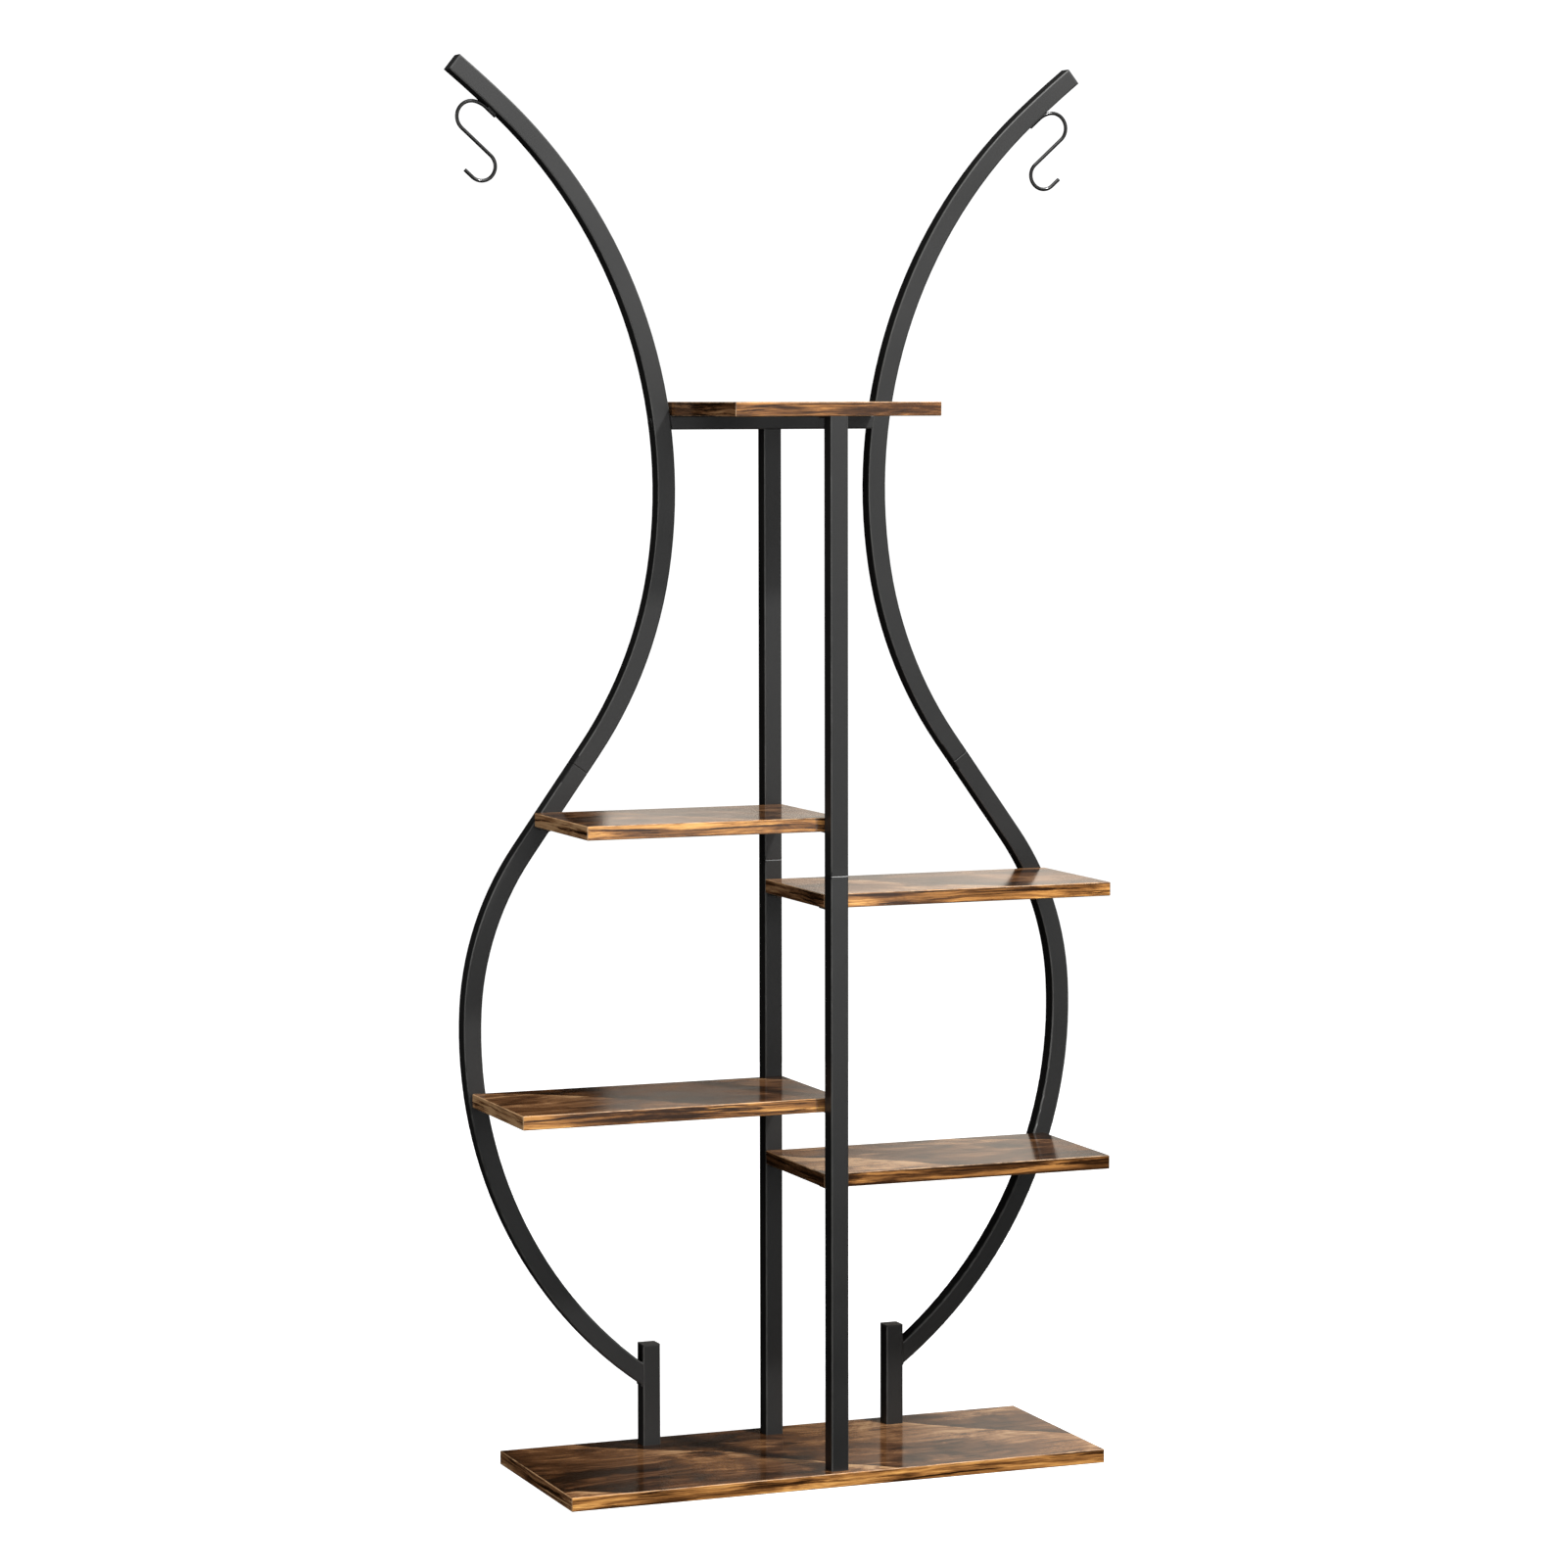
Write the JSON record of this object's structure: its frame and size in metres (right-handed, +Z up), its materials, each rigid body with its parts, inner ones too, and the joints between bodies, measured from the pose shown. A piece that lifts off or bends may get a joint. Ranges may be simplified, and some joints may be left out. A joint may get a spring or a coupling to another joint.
{
  "type": "plant stand",
  "caption": "Lyre-shaped plant stand: bent square-tube frame with hanging hooks, straight uprights, a top shelf and staggered side shelves above a rectangular base board.",
  "frame": {"origin": "middle of the base board's underside, at the floor", "axes": "+X to the viewer's right across the stand, +Y from the front to the back, +Z up"},
  "size_m": [0.7316, 0.24, 1.5224],
  "materials": {
    "board": "satin rustic brown laminate",
    "frame": "matt black powder coat",
    "cap": "matt black",
    "zinc": "zinc plated"
  },
  "bodies": {
    "root": {"base_board": "board", "top_shelf": "board", "upper_left_shelf": "board", "upper_right_shelf": "board", "lower_left_shelf": "board", "lower_right_shelf": "board", "front_upright_lower": "frame", "front_upright_upper": "frame", "rear_upright_lower": "frame", "rear_upright_upper": "frame", "left_arm_lower": "frame", "left_arm_upper": "frame", "right_arm_lower": "frame", "right_arm_upper": "frame", "left_foot_post": "frame", "right_foot_post": "frame", "cross_bar": "frame", "left_hook": "frame", "right_hook": "frame", "front_upright_spigot": "zinc", "rear_upright_spigot": "zinc", "left_arm_spigot": "zinc", "right_arm_spigot": "zinc", "left_arm_cap": "cap", "right_arm_cap": "cap", "left_post_cap": "cap", "right_post_cap": "cap", "foot_plates": "zinc", "base_bolts": "zinc", "front_upright_tabs": "frame", "rear_upright_tabs": "frame", "arm_tabs": "frame", "shelf_screws": "zinc", "top_shelf_screws": "zinc", "cross_bar_plugs": "zinc", "cross_bar_bolts": "frame"}
  },
  "joints": []
}
